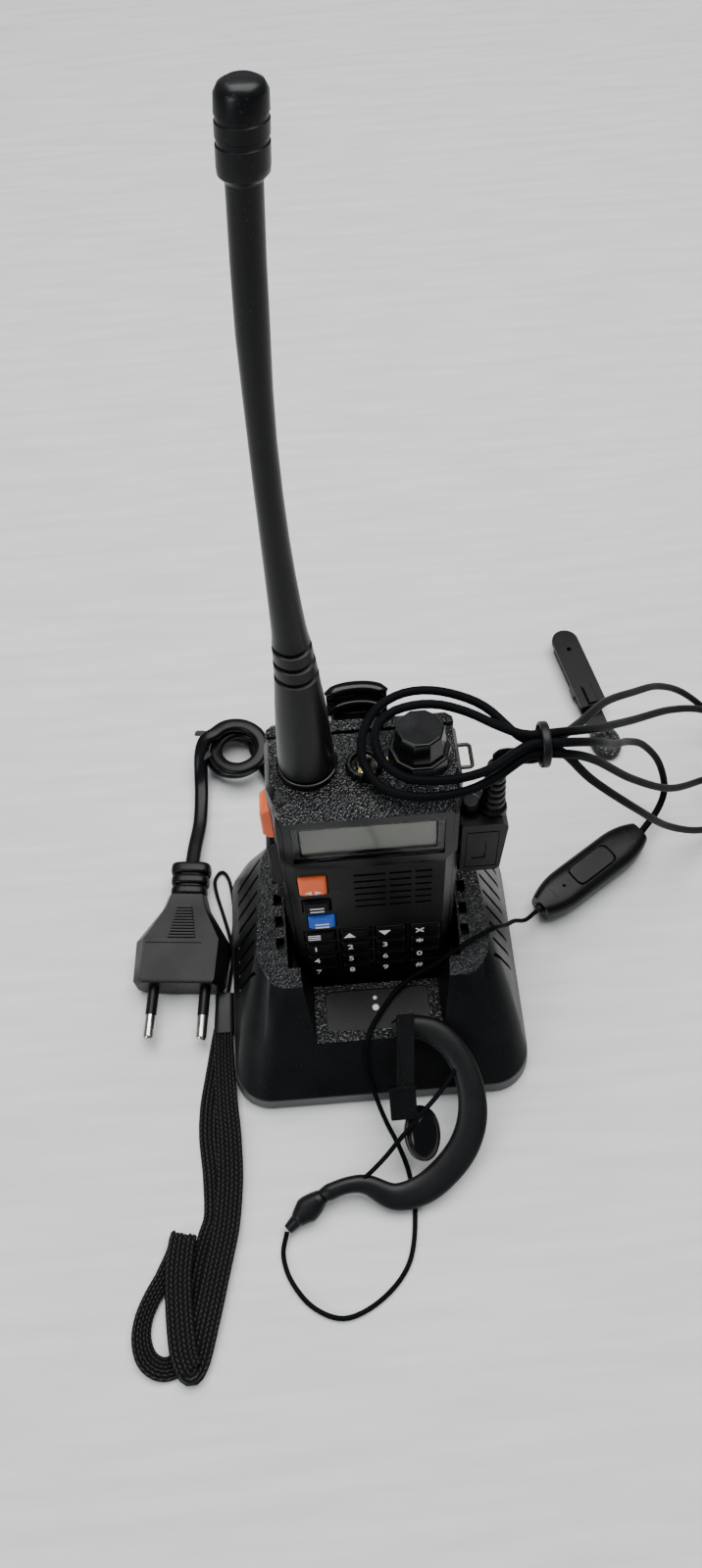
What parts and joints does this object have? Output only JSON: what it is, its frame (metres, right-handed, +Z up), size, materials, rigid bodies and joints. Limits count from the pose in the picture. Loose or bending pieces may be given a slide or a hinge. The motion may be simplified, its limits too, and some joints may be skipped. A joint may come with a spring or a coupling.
{
  "type": "handheld two-way radio with desktop charger",
  "caption": "Handheld two-way radio with keypad and whip antenna, docked in its sloped desktop charger, with plugged-in headset, mains lead and wrist strap.",
  "frame": {"origin": "centre of the charger's underside, on the surface it stands on", "axes": "+Z up, +X to the right of someone facing the keypad, +Y to the back; the keypad faces -Y and the radio leans 7.3 degrees back"},
  "size_m": [0.2426, 0.2706, 0.2934],
  "materials": {
    "shell_black": "satin black moulded plastic",
    "key_black": "smooth black",
    "rubber_black": "matt black rubber",
    "cable_black": "soft black cable jacket",
    "base_grey": "dark grey moulded plastic",
    "orange_plastic": "orange moulded plastic",
    "blue_plastic": "blue moulded plastic",
    "display_glass": "grey-olive display, unlit",
    "clear_glass": "clear window",
    "torch_glass": "clear lens over a yellow emitter",
    "cast_chassis": "dark painted casting",
    "steel": "plain steel",
    "brass": "plain brass",
    "board_green": "green circuit board",
    "webbing_black": "black woven braid"
  },
  "bodies": {
    "dock": {"dock_shell": "shell_black", "dock_base": "base_grey", "dock_board": "board_green", "cord_gland": "rubber_black", "mains_cord": "cable_black", "mains_plug": "shell_black", "wrist_strap": "webbing_black"},
    "radio": {"front_housing": "shell_black", "chassis": "cast_chassis", "circuit_board": "board_green", "lcd_module": "display_glass", "display_lens": "clear_glass", "speaker": "steel", "keypad_mat": "rubber_black", "torch_bezel": "rubber_black", "torch_lens": "torch_glass", "antenna_socket": "cast_chassis", "volume_encoder": "steel", "battery_case": "shell_black", "clip_plate": "steel", "clip_pin": "steel", "headset_plug": "shell_black", "headset_cord": "cable_black", "cable_tie": "rubber_black", "mic_capsule": "shell_black", "ear_lead": "cable_black", "ear_hook": "rubber_black", "lapel_clip_base": "shell_black"},
    "key_menu": {"key_menu": "key_black"},
    "key_up": {"key_up": "key_black"},
    "key_down": {"key_down": "key_black"},
    "key_exit": {"key_exit": "key_black"},
    "key_1": {"key_1": "key_black"},
    "key_2": {"key_2": "key_black"},
    "key_3": {"key_3": "key_black"},
    "key_star": {"key_star": "key_black"},
    "key_4": {"key_4": "key_black"},
    "key_5": {"key_5": "key_black"},
    "key_6": {"key_6": "key_black"},
    "key_0": {"key_0": "key_black"},
    "key_7": {"key_7": "key_black"},
    "key_8": {"key_8": "key_black"},
    "key_9": {"key_9": "key_black"},
    "key_hash": {"key_hash": "key_black"},
    "key_channel_mode": {"key_channel_mode": "orange_plastic"},
    "key_band": {"key_band": "key_black"},
    "key_display_line": {"key_display_line": "blue_plastic"},
    "call_button": {"call_button": "orange_plastic"},
    "ptt_button": {"ptt_button": "rubber_black"},
    "monitor_button": {"monitor_button": "rubber_black"},
    "battery_latch": {"battery_latch": "shell_black"},
    "mic_button": {"mic_button": "rubber_black"},
    "contact_left": {"contact_left": "brass"},
    "contact_right": {"contact_right": "brass"},
    "volume_knob": {"volume_knob": "shell_black"},
    "antenna_whip": {"antenna_whip": "rubber_black"},
    "clip_lever": {"clip_lever": "shell_black"},
    "strap_ring": {"strap_ring": "steel"},
    "ear_speaker": {"ear_speaker": "shell_black"},
    "lapel_clip_lever": {"lapel_clip_lever": "shell_black"}
  },
  "joints": [
    {"name": "radio_lift", "type": "slide", "parent": "dock", "child": "radio", "axis": [0, 0.1271, 0.9919], "range_m": [0, 0.06]},
    {"name": "press_key_menu", "type": "slide", "parent": "radio", "child": "key_menu", "axis": [0, 0.9919, -0.1271], "range_m": [0, 0.0005], "stiffness_N_per_m": 1500},
    {"name": "press_key_up", "type": "slide", "parent": "radio", "child": "key_up", "axis": [0, 0.9919, -0.1271], "range_m": [0, 0.0005], "stiffness_N_per_m": 1500},
    {"name": "press_key_down", "type": "slide", "parent": "radio", "child": "key_down", "axis": [0, 0.9919, -0.1271], "range_m": [0, 0.0005], "stiffness_N_per_m": 1500},
    {"name": "press_key_exit", "type": "slide", "parent": "radio", "child": "key_exit", "axis": [0, 0.9919, -0.1271], "range_m": [0, 0.0005], "stiffness_N_per_m": 1500},
    {"name": "press_key_1", "type": "slide", "parent": "radio", "child": "key_1", "axis": [0, 0.9919, -0.1271], "range_m": [0, 0.0005], "stiffness_N_per_m": 1500},
    {"name": "press_key_2", "type": "slide", "parent": "radio", "child": "key_2", "axis": [0, 0.9919, -0.1271], "range_m": [0, 0.0005], "stiffness_N_per_m": 1500},
    {"name": "press_key_3", "type": "slide", "parent": "radio", "child": "key_3", "axis": [0, 0.9919, -0.1271], "range_m": [0, 0.0005], "stiffness_N_per_m": 1500},
    {"name": "press_key_star", "type": "slide", "parent": "radio", "child": "key_star", "axis": [0, 0.9919, -0.1271], "range_m": [0, 0.0005], "stiffness_N_per_m": 1500},
    {"name": "press_key_4", "type": "slide", "parent": "radio", "child": "key_4", "axis": [0, 0.9919, -0.1271], "range_m": [0, 0.0005], "stiffness_N_per_m": 1500},
    {"name": "press_key_5", "type": "slide", "parent": "radio", "child": "key_5", "axis": [0, 0.9919, -0.1271], "range_m": [0, 0.0005], "stiffness_N_per_m": 1500},
    {"name": "press_key_6", "type": "slide", "parent": "radio", "child": "key_6", "axis": [0, 0.9919, -0.1271], "range_m": [0, 0.0005], "stiffness_N_per_m": 1500},
    {"name": "press_key_0", "type": "slide", "parent": "radio", "child": "key_0", "axis": [0, 0.9919, -0.1271], "range_m": [0, 0.0005], "stiffness_N_per_m": 1500},
    {"name": "press_key_7", "type": "slide", "parent": "radio", "child": "key_7", "axis": [0, 0.9919, -0.1271], "range_m": [0, 0.0005], "stiffness_N_per_m": 1500},
    {"name": "press_key_8", "type": "slide", "parent": "radio", "child": "key_8", "axis": [0, 0.9919, -0.1271], "range_m": [0, 0.0005], "stiffness_N_per_m": 1500},
    {"name": "press_key_9", "type": "slide", "parent": "radio", "child": "key_9", "axis": [0, 0.9919, -0.1271], "range_m": [0, 0.0005], "stiffness_N_per_m": 1500},
    {"name": "press_key_hash", "type": "slide", "parent": "radio", "child": "key_hash", "axis": [0, 0.9919, -0.1271], "range_m": [0, 0.0005], "stiffness_N_per_m": 1500},
    {"name": "press_key_channel_mode", "type": "slide", "parent": "radio", "child": "key_channel_mode", "axis": [0, 0.9919, -0.1271], "range_m": [0, 0.0005], "stiffness_N_per_m": 1500},
    {"name": "press_key_band", "type": "slide", "parent": "radio", "child": "key_band", "axis": [0, 0.9919, -0.1271], "range_m": [0, 0.0005], "stiffness_N_per_m": 1500},
    {"name": "press_key_display_line", "type": "slide", "parent": "radio", "child": "key_display_line", "axis": [0, 0.9919, -0.1271], "range_m": [0, 0.0005], "stiffness_N_per_m": 1500},
    {"name": "press_call", "type": "slide", "parent": "radio", "child": "call_button", "axis": [1, 0, 0], "range_m": [0, 0.0006], "stiffness_N_per_m": 1500},
    {"name": "press_to_talk", "type": "slide", "parent": "radio", "child": "ptt_button", "axis": [1, 0, 0], "range_m": [0, 0.0008], "stiffness_N_per_m": 1500},
    {"name": "press_monitor", "type": "slide", "parent": "radio", "child": "monitor_button", "axis": [1, 0, 0], "range_m": [0, 0.0006], "stiffness_N_per_m": 1500},
    {"name": "slide_battery_latch", "type": "slide", "parent": "radio", "child": "battery_latch", "axis": [0, 0.1271, 0.9919], "range_m": [0, 0.002], "stiffness_N_per_m": 600},
    {"name": "press_mic_button", "type": "slide", "parent": "radio", "child": "mic_button", "axis": [0, 0, -1], "range_m": [0, 0.0006], "stiffness_N_per_m": 1500},
    {"name": "spring_contact_left", "type": "slide", "parent": "dock", "child": "contact_left", "axis": [0, -0.1271, -0.9919], "range_m": [0, 0.0006], "stiffness_N_per_m": 800},
    {"name": "spring_contact_right", "type": "slide", "parent": "dock", "child": "contact_right", "axis": [0, -0.1271, -0.9919], "range_m": [0, 0.0006], "stiffness_N_per_m": 800},
    {"name": "turn_volume", "type": "hinge", "parent": "radio", "child": "volume_knob", "pos_m": [0.016, 0.01933, 0.12234], "axis": [0, 0.1271, 0.9919], "range_deg": [0, 300]},
    {"name": "turn_antenna", "type": "hinge", "parent": "radio", "child": "antenna_whip", "pos_m": [-0.0155, 0.01934, 0.12315], "axis": [0, 0.1271, 0.9919], "continuous": true},
    {"name": "open_belt_clip", "type": "hinge", "parent": "radio", "child": "clip_lever", "pos_m": [0, 0.03956, 0.10866], "axis": [1, 0, 0], "range_deg": [0, 12], "stiffness_Nm_per_rad": 0.3},
    {"name": "swing_strap_ring", "type": "hinge", "parent": "radio", "child": "strap_ring", "pos_m": [0.0273, 0.02238, 0.11389], "axis": [0, 0.9919, -0.1271], "range_deg": [-45, 45]},
    {"name": "swivel_ear_speaker", "type": "hinge", "parent": "radio", "child": "ear_speaker", "pos_m": [0.0086, -0.03066, 0.03061], "axis": [0, -0.3827, 0.9239], "range_deg": [-25, 0]},
    {"name": "open_lapel_clip", "type": "hinge", "parent": "radio", "child": "lapel_clip_lever", "pos_m": [0.09676, 0.11407, 0.004], "axis": [0.9816, 0.1908, 0], "range_deg": [0, 12], "stiffness_Nm_per_rad": 0.15}
  ]
}
